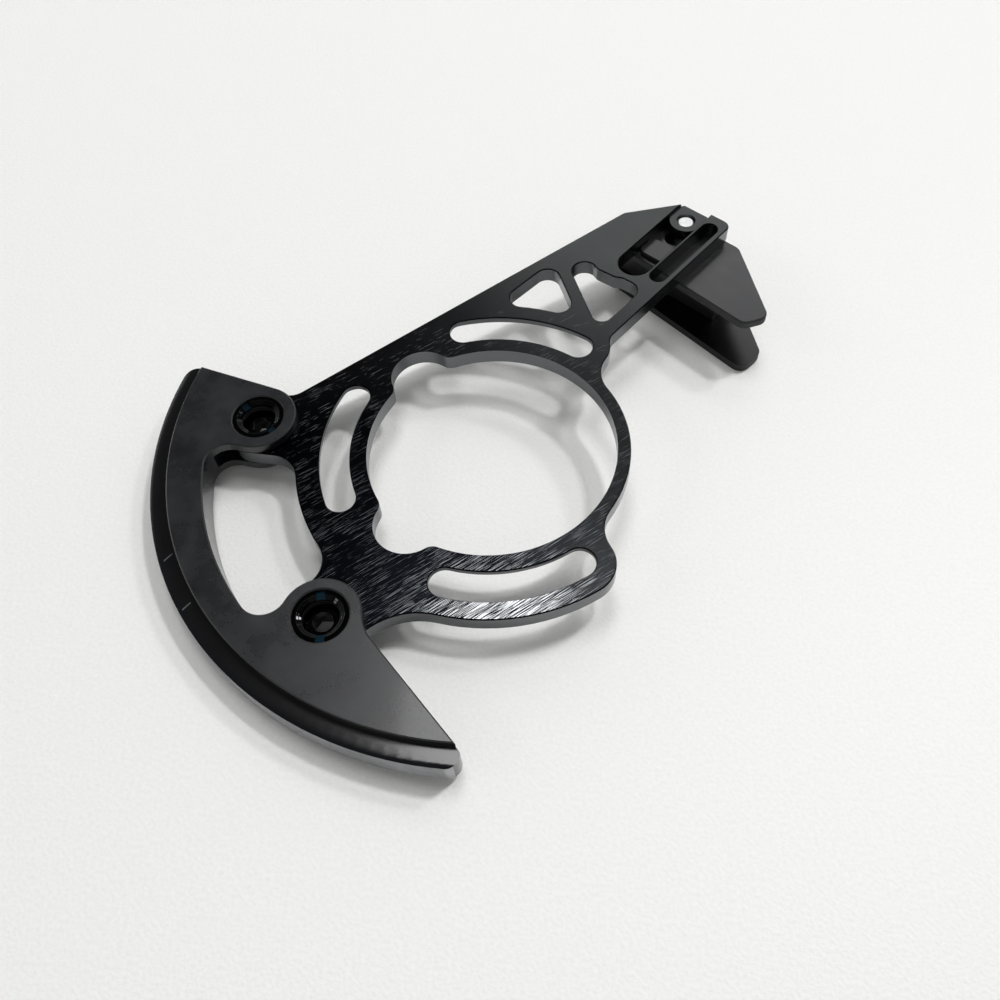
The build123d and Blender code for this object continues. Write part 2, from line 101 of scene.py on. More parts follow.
print("a 45 degree edge is level by", round(math.cos(math.radians(45)), 2))

# %% [markdown]
# ## Scratches of the plate, with painted glint and shade
# The plate was cut from sheet that had been brushed along one direction and was then dyed black. The
# brushing shows as bright dashes. They are thick and many at the lower slot, thinner on the left and gone
# on the arm, where the face is an even satin; that spread and their paler colour at the lower slot are a
# painted glint of the lamps that the scratches mirror there. The face is painted darker towards the lower
# left as painted shade, and paler on the arm. A mask could be painted for each of these, but distances
# from two points on the plate are enough.

# %% Zones of the plate
GLINT_CENTRE = (5 * MM, -50 * MM, 0.0)
DARKEST_SHADE_CENTRE = (-30 * MM, -25 * MM, 0.0)

brushed_black, tree = empty_material("black_anodised_aluminium_brushed")
place = node(tree, "ShaderNodeTexCoord")
zones = {}
# Each zone is full up to its first distance and gone at its second
for zone, centre, near, far, fall in (
    # Scratches and painted glint: the dashes grow in number towards this point
    ("scratches_and_glint", GLINT_CENTRE, 12 * MM, 110 * MM, "LINEAR"),
    # Painted glint: more dashes, and paler ones, near the lower slot
    ("painted_glint", GLINT_CENTRE, 6 * MM, 30 * MM, "SMOOTHSTEP"),
    # Painted shade: the face is darkest round this point and paler far from it
    ("black", DARKEST_SHADE_CENTRE, 33 * MM, 105 * MM, "LINEAR"),
):
    away = node(tree, "ShaderNodeVectorMath", {
        0: place.outputs["Object"], 1: centre,
    }, operation="DISTANCE")
    zones[zone] = node(tree, "ShaderNodeMapRange", {
        "Value": away.outputs["Value"], "From Min": near, "From Max": far,
        "To Min": 1.0, "To Max": 0.0,
    }, interpolation_type=fall).outputs["Result"]
print("zones of the plate:", ", ".join(zones))

# %% [markdown]
# ## Dashes along the grain
# Modelling the scratches would take thousands of slivers, so they are a noise that is stretched along the
# grain and cut off at a level. The zones and a patchy second noise lift the first one over that level, so
# the dashes grow in number and in length towards the lower slot, which paints the glint of the lamps
# that the scratches mirror there.

# %% Scratches along the grain
GRAIN_ANGLE = math.radians(36)
SCRATCH_LENGTH = 7 * MM
# A real scratch is about 0.05 mm wide, too fine for the picture, so it is drawn wider
SCRATCH_WIDTH = 0.17 * MM
PATCH_SIZE = 9 * MM
SCRATCH_AND_GLINT_LIFT, GLINT_LIFT, PATCH_LIFT = 0.16, 0.12, 0.25
DASH_FROM, DASH_TO = 0.865, 0.905
# Where the zone of scratches and painted glint is weaker than this, the last dashes fade
FADE_FROM, FADE_TO = 0.1, 0.3

along_grain = node(tree, "ShaderNodeMapping", {
    "Vector": place.outputs["Object"],
    "Rotation": (0, 0, GRAIN_ANGLE),
    "Scale": (SCRATCH_LENGTH, SCRATCH_WIDTH, 1.0),
}, vector_type="TEXTURE")
dashes = node(tree, "ShaderNodeTexNoise", {
    "Vector": along_grain.outputs["Vector"], "Scale": 1.0, "Detail": 2.0, "Roughness": 0.6,
}, noise_dimensions="2D")
patches = node(tree, "ShaderNodeTexNoise", {
    "Vector": place.outputs["Object"], "Scale": 1 / PATCH_SIZE, "Detail": 2.0,
})
level = dashes.outputs["Fac"]
for lifting, lift in (
    (zones["scratches_and_glint"], SCRATCH_AND_GLINT_LIFT),
    (zones["painted_glint"], GLINT_LIFT),
    (patches.outputs["Fac"], PATCH_LIFT),
):
    level = node(tree, "ShaderNodeMath", {
        0: lifting, 1: lift, 2: level,
    }, operation="MULTIPLY_ADD").outputs["Value"]
cut_off = node(tree, "ShaderNodeMapRange", {"Value": level, "From Min": DASH_FROM, "From Max": DASH_TO})
fading = node(tree, "ShaderNodeMapRange", {
    "Value": zones["scratches_and_glint"], "From Min": FADE_FROM, "From Max": FADE_TO,
})
print("scratches drawn", round(SCRATCH_WIDTH / MM, 2), "mm wide")

# %% [markdown]
# ## Brushed black anodised aluminium
# Anodising leaves the metal's own mirror under a black skin, so the plate is a dark metal: it shows the
# room it lies in and hardly any colour of its own. A scratch lays the metal open and is rougher, so it is
# paler and catches a lamp from more sides, and near the lower slot its colour is paler still as a painted
# highlight. The broken edges are painted near black, a painted shade that draws a black line round every
# opening, and the milled walls are the palest.

# %% Colours of face, edge and wall
FACE_FROM, FACE_TO = 0.9, 0.97
EDGE_FROM, EDGE_TO = 0.3, 0.5

flat = levelness(tree, place)
on_face = node(tree, "ShaderNodeMapRange", {"Value": flat, "From Min": FACE_FROM, "From Max": FACE_TO})
on_edge = node(tree, "ShaderNodeMapRange", {"Value": flat, "From Min": EDGE_FROM, "From Max": EDGE_TO})
scratch_and_glint_mask = cut_off.outputs["Result"]
for limit in (fading, on_face):
    scratch_and_glint_mask = node(tree, "ShaderNodeMath", {
        0: scratch_and_glint_mask, 1: limit.outputs["Result"],
    }, operation="MULTIPLY").outputs["Value"]
# Painted shade: the dyed face is darker towards the lower left and paler on the arm
dyed_and_shaded_colour = node(tree, "ShaderNodeMix", {
    "Factor": zones["black"], "A": linear("#3c3e3e"), "B": linear("#0b0c10"),
}, data_type="RGBA")
# Painted highlight: the scratches are paler near the lower slot
scratch_and_glint_colour = node(tree, "ShaderNodeMix", {
    "Factor": zones["painted_glint"], "A": linear("#54575b"), "B": linear("#b2b4b6"),
}, data_type="RGBA")
face_colour = node(tree, "ShaderNodeMix", {
    "Factor": scratch_and_glint_mask, "A": dyed_and_shaded_colour.outputs["Result"], "B": scratch_and_glint_colour.outputs["Result"],
}, data_type="RGBA")
# Painted shade: the broken edges are near black
wall_and_shaded_edge_colour = node(tree, "ShaderNodeMix", {
    "Factor": on_edge.outputs["Result"], "A": linear("#6c6e70"), "B": linear("#0a0a0b"),
}, data_type="RGBA")
colour = node(tree, "ShaderNodeMix", {
    "Factor": on_face.outputs["Result"],
    "A": wall_and_shaded_edge_colour.outputs["Result"], "B": face_colour.outputs["Result"],
}, data_type="RGBA")
print("a face is level by more than", FACE_FROM)

# %% [markdown]
# ## Sheen of the plate
# The same mask that colours the scratches makes them rougher and gives them edges, so that they catch the
# light where the dyed face around them does not.

# %% Brushed metal
SATIN_LOW, SATIN_HIGH = 0.2, 0.27
BARE_ROUGHER = 0.08
SCRATCH_DEPTH = 0.03 * MM

satin = node(tree, "ShaderNodeMapRange", {
    "Value": patches.outputs["Fac"], "To Min": SATIN_LOW, "To Max": SATIN_HIGH,
})
roughness = node(tree, "ShaderNodeMath", {
    0: scratch_and_glint_mask, 1: BARE_ROUGHER, 2: satin.outputs["Result"],
}, operation="MULTIPLY_ADD")
tilt = node(tree, "ShaderNodeBump", {"Height": scratch_and_glint_mask, "Distance": SCRATCH_DEPTH, "Strength": 0.5})
metal = node(tree, "ShaderNodeBsdfPrincipled", {
    "Base Color": colour.outputs["Result"], "Roughness": roughness.outputs["Value"],
    "Normal": tilt.outputs["Normal"], "Metallic": 1.0,
})
node(tree, "ShaderNodeOutputMaterial", {"Surface": metal.outputs["BSDF"]})
print(brushed_black.name, "has", len(tree.nodes), "nodes")

# %% [markdown]
# ## The skin of moulded nylon
# The guard and the sliding channel are moulded from black nylon. The skin is satin and a little blotchy
# from handling, and it shows a faint grain close up. Two noises are enough: a broad one for the blotches
# and a fine one for the grain of the mould. Both pieces share them, so they are made by one function.

# %% Nylon skin
BLOTCH_SIZE = 9 * MM
BLOTCH_FROM, BLOTCH_TO = 0.3, 0.7
# The real grain is about 0.1 mm and is drawn coarser so that it shows
GRAIN_SIZE = 0.5 * MM
GRAIN_DEPTH = 0.006 * MM
NYLON_IOR = 1.53


def nylon_skin(tree, place):
    """Blotches from 0 to 1, and the tilt that the mould's grain gives the surface."""
    broad = node(tree, "ShaderNodeTexNoise", {
        "Vector": place.outputs["Object"], "Scale": 1 / BLOTCH_SIZE, "Detail": 5.0, "Roughness": 0.65,
    })
    fine = node(tree, "ShaderNodeTexNoise", {
        "Vector": place.outputs["Object"], "Scale": 1 / GRAIN_SIZE, "Detail": 1.0,
    })
    blotches = node(tree, "ShaderNodeMapRange", {
        "Value": broad.outputs["Fac"], "From Min": BLOTCH_FROM, "From Max": BLOTCH_TO,
    })
    tilt = node(tree, "ShaderNodeBump", {
        "Height": fine.outputs["Fac"], "Distance": GRAIN_DEPTH, "Strength": 0.4,
    })
    return blotches.outputs["Result"], tilt.outputs["Normal"]


print("blotches", round(BLOTCH_SIZE / MM), "mm across")

# %% [markdown]
# ## Nylon of the guard, with painted shade and reflection at the rim
# The guard's land is an even dark satin. Its lower rim is painted black beside the step as painted shade
# in the hollow, and a little greyer towards the outer edge, and its side is painted pale as a painted
# reflection of the white table. A hand painted mask would do. The rim is an arc, so the distance from its
# centre is simpler, with a noise that frays the line between black and grey.

# %% Painted shade by distance from the rim's centre
RIM_CENTRE = (-0.85 * MM, 2.87 * MM, 0.0)
RIM_R = 78.4 * MM
RIM_WIDTH = 4.3 * MM
# Room that keeps the step's own wall on the rim's side
STEP_ROOM = 0.1 * MM
FRAY = 0.9 * MM
STEP_SHADE_FROM, STEP_SHADE_TO = RIM_R - 1.8 * MM, RIM_R - 0.4 * MM

worn_nylon, tree = empty_material("black_nylon_moulded_worn")
place = node(tree, "ShaderNodeTexCoord")
blotches, skin_tilt = nylon_skin(tree, place)
flat_spot = node(tree, "ShaderNodeVectorMath", {
    0: place.outputs["Object"], 1: (1, 1, 0),
}, operation="MULTIPLY")
to_centre = node(tree, "ShaderNodeVectorMath", {
    0: RIM_CENTRE, 1: flat_spot.outputs["Vector"],
}, operation="SUBTRACT").outputs["Vector"]
reach = node(tree, "ShaderNodeVectorMath", {0: to_centre}, operation="LENGTH").outputs["Value"]
frayed = node(tree, "ShaderNodeMath", {0: blotches, 1: FRAY, 2: reach}, operation="MULTIPLY_ADD")
step_shade_fade = node(tree, "ShaderNodeMapRange", {
    "Value": frayed.outputs["Value"], "From Min": STEP_SHADE_FROM, "From Max": STEP_SHADE_TO,
})
past_step = node(tree, "ShaderNodeMath", {
    0: reach, 1: RIM_R - RIM_WIDTH - STEP_ROOM,
}, operation="GREATER_THAN").outputs["Value"]
print("rim is", round(RIM_WIDTH / MM, 1), "mm wide")

# %% [markdown]
# ## Two knocks on the rim
# Two stones have left thin pale lines across the rim. Each runs from near the step outwards and turns a
# little as it goes. The angle round the rim less the angle of the line at that distance gives how far a
# point lies from it, and a narrow band of that is the line.

# %% Pale lines across the rim
LINE_WIDTH = 0.25 * MM
LINE_STRENGTH = 0.5
# Radius and angle in degrees where each line starts, and where it ends
KNOCKS = (
    ((75.05 * MM, 205.33), (77.23 * MM, 206.14)),
    ((75.3 * MM, 215.68), (77.55 * MM, 216.13)),
)

way = node(tree, "ShaderNodeSeparateXYZ", {"Vector": to_centre})
# Seen towards the centre the angle is turned by half a circle, so its jump lies far from the guard
angle = node(tree, "ShaderNodeMath", {0: way.outputs["Y"], 1: way.outputs["X"]}, operation="ARCTAN2")
knocks = 0.0
for (start_r, start_angle), (end_r, end_angle) in KNOCKS:
    turn = node(tree, "ShaderNodeMapRange", {
        "Value": reach, "From Min": start_r, "From Max": end_r,
        "To Min": math.radians(start_angle - 180), "To Max": math.radians(end_angle - 180),
    }, clamp=False)
    off = node(tree, "ShaderNodeMath", {
        0: angle.outputs["Value"], 1: turn.outputs["Result"],
    }, operation="SUBTRACT")
    off = node(tree, "ShaderNodeMath", {0: off.outputs["Value"]}, operation="ABSOLUTE")
    line = node(tree, "ShaderNodeMapRange", {
        "Value": off.outputs["Value"], "From Min": 0.0, "From Max": LINE_WIDTH / RIM_R,
        "To Min": LINE_STRENGTH, "To Max": 0.0,
    })
    between = node(tree, "ShaderNodeMath", {
        0: reach, 1: (start_r + end_r) / 2, 2: (end_r - start_r) / 2,
    }, operation="COMPARE")
    knocks = node(tree, "ShaderNodeMath", {
        0: line.outputs["Result"], 1: between.outputs["Value"], 2: knocks,
    }, operation="MULTIPLY_ADD").outputs["Value"]
print(len(KNOCKS), "lines", round(LINE_WIDTH / MM, 2), "mm wide")

# %% [markdown]
# ## Colour of the worn nylon, with painted shade and reflection
# The land keeps the blotchy black of the mould. On the rim the black deepens beside the step as painted
# shade and turns greyer outwards, the side of the rim is painted pale as a painted reflection of the
# table, and the two lines lie on top.

# %% Land, rim with painted shade, and side with painted reflection
SIDE_FROM, SIDE_TO = 0.1, 0.35
# The side painted pale as a reflection starts this far inside the outer edge
SIDE_ROOM = 0.6 * MM

land_colour = node(tree, "ShaderNodeMix", {
    "Factor": blotches, "A": linear("#0d0e12"), "B": linear("#202226"),
}, data_type="RGBA")
# Painted shade: the rim is black beside the step and a little greyer outwards
rim_colour_with_step_shade = node(tree, "ShaderNodeMix", {
    "Factor": step_shade_fade.outputs["Result"], "A": linear("#040405"), "B": linear("#0d0e11"),
}, data_type="RGBA")
marked = node(tree, "ShaderNodeMix", {
    "Factor": knocks, "A": rim_colour_with_step_shade.outputs["Result"], "B": linear("#8b8d90"),
}, data_type="RGBA")
flat = levelness(tree, place)
on_side = node(tree, "ShaderNodeMapRange", {
    "Value": flat, "From Min": SIDE_FROM, "From Max": SIDE_TO, "To Min": 1.0, "To Max": 0.0,
})
at_outside = node(tree, "ShaderNodeMath", {0: reach, 1: RIM_R - SIDE_ROOM}, operation="GREATER_THAN")
side_reflection_mask = node(tree, "ShaderNodeMath", {
    0: on_side.outputs["Result"], 1: at_outside.outputs["Value"],
}, operation="MULTIPLY")
# Painted reflection: the rim's side is pale like the table it mirrors
side_reflections = node(tree, "ShaderNodeMix", {
    "Factor": blotches, "A": linear("#7b7c7f"), "B": linear("#a3a4a7"),
}, data_type="RGBA")
colour_with_side_reflections = node(tree, "ShaderNodeMix", {
    "Factor": side_reflection_mask.outputs["Value"], "A": marked.outputs["Result"], "B": side_reflections.outputs["Result"],
}, data_type="RGBA")
zone_colour = node(tree, "ShaderNodeMix", {
    "Factor": past_step, "A": land_colour.outputs["Result"], "B": colour_with_side_reflections.outputs["Result"],
}, data_type="RGBA")
# Where the painted reflection on the side starts
print("scuffs start", round(SIDE_ROOM / MM, 1), "mm inside the edge")

# %% [markdown]
# ## Edges and oil of the worn nylon
# The rounded edges of the land are matt, and painted black as painted shade. The rim's hollow leans as an
# edge does, so past the step nothing counts as one. A thin coat stands for the film of chain oil, which
# mirrors the edge of a lamp more sharply than the satin skin under it.

# %% Worn nylon
NYLON_FACE_FROM, NYLON_FACE_TO = 0.9, 0.96
LAND_SATIN_LOW, LAND_SATIN_HIGH = 0.24, 0.34
RIM_GLOSS = 0.16
EDGE_MATT = 0.65

on_face = node(tree, "ShaderNodeMapRange", {
    "Value": flat, "From Min": NYLON_FACE_FROM, "From Max": NYLON_FACE_TO,
})
face_or_rim = node(tree, "ShaderNodeMath", {
    0: on_face.outputs["Result"], 1: past_step,
}, operation="MAXIMUM")
leaning = node(tree, "ShaderNodeMath", {0: 1.0, 1: face_or_rim.outputs["Value"]}, operation="SUBTRACT")
on_edge = node(tree, "ShaderNodeMath", {
    0: leaning.outputs["Value"], 1: on_side.outputs["Result"],
}, operation="SUBTRACT", use_clamp=True)
# Painted shade: the broken edges are near black
colour = node(tree, "ShaderNodeMix", {
    "Factor": on_edge.outputs["Value"], "A": zone_colour.outputs["Result"], "B": linear("#030303"),
}, data_type="RGBA")
satin = node(tree, "ShaderNodeMapRange", {
    "Value": blotches, "To Min": LAND_SATIN_LOW, "To Max": LAND_SATIN_HIGH,
})
gloss = node(tree, "ShaderNodeMapRange", {
    "Value": past_step, "To Min": satin.outputs["Result"], "To Max": RIM_GLOSS,
})
roughness = node(tree, "ShaderNodeMapRange", {
    "Value": on_edge.outputs["Value"], "To Min": gloss.outputs["Result"], "To Max": EDGE_MATT,
})
plastic = node(tree, "ShaderNodeBsdfPrincipled", {
    "Base Color": colour.outputs["Result"], "Roughness": roughness.outputs["Result"],
    "Normal": skin_tilt, "IOR": NYLON_IOR,
    "Coat Weight": 0.3, "Coat Roughness": 0.08, "Coat Normal": skin_tilt,
})
node(tree, "ShaderNodeOutputMaterial", {"Surface": plastic.outputs["BSDF"]})
print(worn_nylon.name, "has", len(tree.nodes), "nodes")

# %% [markdown]
# ## Nylon of the sliding channel
# The channel is the same nylon without the wear. Cleaning has left faint curved wipes across its cheek.
# Rings of a wave pattern, bent by noise and hardly paler than the rest, stand for them. Where the arm
# covers the channel, and inside it below the inner cheek, the skin is painted near black as painted
# shade.

# %% Wiped nylon and painted shade under the arm
WIPE_SPACING = 5 * MM
WIPE_SHARE = 0.35
# Blender's wave runs through this many radians in one unit of its vector
WAVE_RADIANS = 20
# Direction across the arm, and where the arm begins to cover the channel and covers it whole
ACROSS_ARM = (-0.766, 0.643, 0.0)
COVERED_FROM, COVERED_TO = -5.5 * MM, -2.0 * MM
# Underside of the inner cheek
INSIDE_BELOW = -6.5 * MM

wiped_nylon, tree = empty_material("black_nylon_moulded")
place = node(tree, "ShaderNodeTexCoord")
blotches, skin_tilt = nylon_skin(tree, place)
wipes = node(tree, "ShaderNodeTexWave", {
    "Vector": place.outputs["Object"], "Scale": 2 * math.pi / (WAVE_RADIANS * WIPE_SPACING),
    "Distortion": 3.0, "Detail": 2.0, "Detail Scale": 1.0,
}, wave_type="RINGS", rings_direction="Z", wave_profile="SIN")
shade = node(tree, "ShaderNodeMath", {
    0: wipes.outputs["Fac"], 1: WIPE_SHARE, 2: blotches,
}, operation="MULTIPLY_ADD").outputs["Value"]
across = node(tree, "ShaderNodeVectorMath", {
    0: place.outputs["Object"], 1: ACROSS_ARM,
}, operation="DOT_PRODUCT")
covered = node(tree, "ShaderNodeMapRange", {
    "Value": across.outputs["Value"], "From Min": COVERED_FROM, "From Max": COVERED_TO,
}, interpolation_type="SMOOTHSTEP")
spot = node(tree, "ShaderNodeSeparateXYZ", {"Vector": place.outputs["Object"]})
inside = node(tree, "ShaderNodeMath", {0: spot.outputs["Z"], 1: INSIDE_BELOW}, operation="LESS_THAN")
shade_zone = node(tree, "ShaderNodeMath", {
    0: covered.outputs["Result"], 1: inside.outputs["Value"],
}, operation="MAXIMUM").outputs["Value"]
print("wipes", round(WIPE_SPACING / MM), "mm apart")

# %% [markdown]
# ## Sheen of the channel
# The open cheek is the smoothest, because wiping polishes it. The skin painted as shade under the arm and
# inside the channel is satin, and the broken edges of the cheeks are matt.

# %% Channel nylon
CHEEK_GLOSS_LOW, CHEEK_GLOSS_HIGH = 0.16, 0.26
SHADE_ZONE_SATIN = 0.25
CHEEK_EDGE_MATT = 0.6

open_colour = node(tree, "ShaderNodeMix", {
    "Factor": shade, "A": linear("#0c0d10"), "B": linear("#1b1c20"),
}, data_type="RGBA")
# Painted shade: near black under the arm and inside the channel
colour = node(tree, "ShaderNodeMix", {
    "Factor": shade_zone, "A": open_colour.outputs["Result"], "B": linear("#040407"),
}, data_type="RGBA")
polished = node(tree, "ShaderNodeMapRange", {
    "Value": shade, "To Min": CHEEK_GLOSS_LOW, "To Max": CHEEK_GLOSS_HIGH,
})
gloss = node(tree, "ShaderNodeMapRange", {
    "Value": shade_zone, "To Min": polished.outputs["Result"], "To Max": SHADE_ZONE_SATIN,
})
roughness = node(tree, "ShaderNodeMapRange", {
    "Value": levelness(tree, place), "From Min": FACE_FROM, "From Max": FACE_TO,
    "To Min": CHEEK_EDGE_MATT, "To Max": gloss.outputs["Result"],
})
plastic = node(tree, "ShaderNodeBsdfPrincipled", {
    "Base Color": colour.outputs["Result"], "Roughness": roughness.outputs["Result"],
    "Normal": skin_tilt, "IOR": NYLON_IOR,
})
node(tree, "ShaderNodeOutputMaterial", {"Surface": plastic.outputs["BSDF"]})
print(wiped_nylon.name, "has", len(tree.nodes), "nodes")

# %% [markdown]
# ## Blue floors of the notches
# The sleeve nuts and bolts of the guard are turned aluminium. The floors of the nuts' notches were milled
# and are a dark blue. They could be a material of their own, given face by face. They are also the only
# level faces at their height, which is how the colour finds them here.

# %% Milled notches
NOTCH_LOW, NOTCH_HIGH = 1.0 * MM, 1.7 * MM
LEVEL_FROM = 0.9

turned_black, tree = empty_material("black_anodised_aluminium_turned")
place = node(tree, "ShaderNodeTexCoord")
spot = node(tree, "ShaderNodeSeparateXYZ", {"Vector": place.outputs["Object"]})
facing = node(tree, "ShaderNodeSeparateXYZ", {"Vector": place.outputs["Normal"]})
milled = node(tree, "ShaderNodeMath", {
    0: facing.outputs["Z"], 1: LEVEL_FROM,
}, operation="GREATER_THAN").outputs["Value"]
for bound, side in ((NOTCH_LOW, "GREATER_THAN"), (NOTCH_HIGH, "LESS_THAN")):
    within = node(tree, "ShaderNodeMath", {0: spot.outputs["Z"], 1: bound}, operation=side)
    milled = node(tree, "ShaderNodeMath", {
        0: milled, 1: within.outputs["Value"],
    }, operation="MULTIPLY").outputs["Value"]
print("notch floors lie between", NOTCH_LOW / MM, "and", NOTCH_HIGH / MM, "mm")

# %% [markdown]
# ## Glossy black fasteners
# A glossy black anodised skin makes the nuts and bolts almost mirrors of a dark room. The skin is sealed
# with a clear film, and a thin coat stands for it: it gives the small white glints of the lamps.

# %% Turned black aluminium
TURNING_SIZE = 0.6 * MM
GLOSS_LOW, GLOSS_HIGH = 0.03, 0.09
MILLED_ROUGHNESS = 0.45

marks = node(tree, "ShaderNodeTexNoise", {
    "Vector": place.outputs["Object"], "Scale": 1 / TURNING_SIZE, "Detail": 2.0,
})
skin_colour = node(tree, "ShaderNodeMix", {
    "Factor": marks.outputs["Fac"], "A": linear("#060708"), "B": linear("#0c0d10"),
}, data_type="RGBA")
colour = node(tree, "ShaderNodeMix", {
    "Factor": milled, "A": skin_colour.outputs["Result"], "B": linear("#0e1f28"),
}, data_type="RGBA")
gloss = node(tree, "ShaderNodeMapRange", {
    "Value": marks.outputs["Fac"], "To Min": GLOSS_LOW, "To Max": GLOSS_HIGH,
})
roughness = node(tree, "ShaderNodeMapRange", {
    "Value": milled, "To Min": gloss.outputs["Result"], "To Max": MILLED_ROUGHNESS,
})
metal = node(tree, "ShaderNodeBsdfPrincipled", {
    "Base Color": colour.outputs["Result"], "Roughness": roughness.outputs["Result"], "Metallic": 1.0,
    "Coat Weight": 0.25, "Coat Roughness": 0.03,
})
node(tree, "ShaderNodeOutputMaterial", {"Surface": metal.outputs["BSDF"]})
print("turning marks", TURNING_SIZE / MM, "mm")

# %% [markdown]
# ## The bright screw
# The screw of the channel and its washer are zinc plated steel: pale, a little dull, and never quite
# even, which a fine noise in colour and gloss gives.

# %% Zinc plated steel
BLOOM_SIZE = 0.6 * MM
ZINC_SMOOTH, ZINC_DULL = 0.25, 0.42

zinc, tree = empty_material("zinc_plated_steel")
place = node(tree, "ShaderNodeTexCoord")
bloom = node(tree, "ShaderNodeTexNoise", {
    "Vector": place.outputs["Object"], "Scale": 1 / BLOOM_SIZE, "Detail": 2.0,
})
colour = node(tree, "ShaderNodeMix", {
    "Factor": bloom.outputs["Fac"], "A": linear("#b9bbbb"), "B": linear("#e2e3e2"),
}, data_type="RGBA")
roughness = node(tree, "ShaderNodeMapRange", {
    "Value": bloom.outputs["Fac"], "To Min": ZINC_SMOOTH, "To Max": ZINC_DULL,
})
metal = node(tree, "ShaderNodeBsdfPrincipled", {
    "Base Color": colour.outputs["Result"], "Roughness": roughness.outputs["Result"], "Metallic": 1.0,
})
node(tree, "ShaderNodeOutputMaterial", {"Surface": metal.outputs["BSDF"]})
print("zinc bloom", BLOOM_SIZE / MM, "mm")

# %% [markdown]
# ## Dress the CAD nodes
# Each CAD node keeps its mesh and its place, and only its material changes.

# %% Materials on the nodes
finishes = {
    "backplate": brushed_black,
    "bash_guard": worn_nylon,
    "top_guide": wiped_nylon,
    "bash_sleeve_nuts": turned_black,
    "bash_bolts": turned_black,
    "guide_screw": zinc,
    "guide_washer": zinc,
}
for name, material in finishes.items():
    nodes[name].data.materials.clear()
    nodes[name].data.materials.append(material)
print("dressed", len(finishes), "nodes")

# %% [markdown]
# ## Threads and beads of the sleeve nuts
# The bolts screw into the sleeve nuts from the far side and stop short of the top, so the last turns of
# the nuts' threads show in the dark, and the lathe left two fine beads round the mouth. A texture could
# hint at them, but light only runs along a real ridge. Each is a small profile carried round the nut:
# every step turns it and lifts it, and faces join it to the step before. A thread climbs, a bead doesn't.

# %% A ridge round a centre
STEPS_PER_TURN = 64


def add_ridge(shape, centre, turn_from, turn_to, low, climb, profile):
    """Carries a profile of (radius, height) points round a centre, by angles in degrees."""
    steps = max(2, round((turn_to - turn_from) / 360 * STEPS_PER_TURN))
    rows = []
    for i in range(steps + 1):
        turn = math.radians(turn_from + (turn_to - turn_from) * i / steps)
        lift = low + climb * i / steps
        rows.append([
            shape.verts.new((centre[0] + r * math.cos(turn), centre[1] + r * math.sin(turn), lift + z))
            for r, z in profile
        ])
    sides = len(profile)
    for a, b in zip(rows, rows[1:]):
        for j in range(sides):
            shape.faces.new((a[j], a[(j + 1) % sides], b[(j + 1) % sides], b[j]))
    shape.faces.new(rows[0])
    shape.faces.new(rows[-1])


print("ridges take", STEPS_PER_TURN, "steps a turn")

# %% [markdown]
# ## Profiles of thread and bead
# A thread is a low wedge with a narrow crest, and a bead is a small round. Both are lists of radius and
# height, the thread's along the wall of the nut and a bead's about its own middle.

# %% Thread and bead profiles
THREAD_WALL_R, THREAD_CREST_R = 4.09 * MM, 3.68 * MM
THREAD_PITCH = 0.8 * MM
THREAD_FOOT, THREAD_CREST = 0.4 * THREAD_PITCH, 0.06 * THREAD_PITCH
BEAD_SIDES = 6

thread_profile = (
    (THREAD_WALL_R, -THREAD_FOOT), (THREAD_CREST_R, -THREAD_CREST),
    (THREAD_CREST_R, THREAD_CREST), (THREAD_WALL_R, THREAD_FOOT),
)


def bead_profile(bead_r, thick):
    """A small round of half thickness thick at the radius bead_r."""
    corners = [2 * math.pi * i / BEAD_SIDES for i in range(BEAD_SIDES)]
    return [(bead_r + thick * math.cos(turn), thick * math.sin(turn)) for turn in corners]


print("thread stands", round((THREAD_WALL_R - THREAD_CREST_R) / MM, 2), "mm off the wall")

# %% [markdown]
# ## One set for each nut
# The beads stop at the two notches, which the wrench fits, so each bead is two arcs. The ridges belong to
# the nuts, so they ride on the plate's body.

# %% Ridges of both nuts
# Centre of each nut and the direction of its notches in degrees
NUTS = (((-55.47 * MM, 6.91 * MM), 137.0), ((-33.35 * MM, -44.74 * MM), 97.0))
THREAD_LOW, THREAD_TURNS = -0.38 * MM, 1.9
# Radius of a bead, its height and half its thickness
BEADS = ((5.02 * MM, 2.02 * MM, 0.11 * MM), (4.5 * MM, 1.81 * MM, 0.09 * MM))
NOTCH_HALF_ANGLE = 14.0
SHARP_ANGLE = math.radians(65)

for number, (centre, notch) in enumerate(NUTS, 1):
    shape = bmesh.new()
    thread_climb = THREAD_PITCH * THREAD_TURNS
    add_ridge(shape, centre, 0, 360 * THREAD_TURNS, THREAD_LOW, thread_climb, thread_profile)
    for bead_r, height, thick in BEADS:
        for first in (notch, notch + 180):
            arc_from, arc_to = first + NOTCH_HALF_ANGLE, first + 180 - NOTCH_HALF_ANGLE
            add_ridge(shape, centre, arc_from, arc_to, height, 0, bead_profile(bead_r, thick))
    bmesh.ops.recalc_face_normals(shape, faces=shape.faces)
    mesh = bpy.data.meshes.new(f"sleeve_nut_ridges_{number}")
    shape.to_mesh(mesh)
    shape.free()
    mesh.shade_smooth()
    mesh.set_sharp_from_angle(angle=SHARP_ANGLE)
    mesh.materials.append(turned_black)
    ridges = bpy.data.objects.new(mesh.name, mesh)
    bpy.context.collection.objects.link(ridges)
    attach(ridges, "plate")
    print(ridges.name, "has", len(mesh.polygons), "faces")

# %% [markdown]
# ## The table
# The part lies on a white table and touches it with the rim of the guard and the lower edge of the
# channel, so in the part's own frame the table slopes by about five degrees. Its plane follows from the
# two heights that touch and the distance between them.

# %% White table
FLOOR_SIZE = 12.0
# Direction in which the table falls, and how far along it the rim and the channel touch
REST_ANGLE = math.radians(43.8)
RIM_REACH = -77.03 * MM
CHEEK_REACH = 71.1 * MM

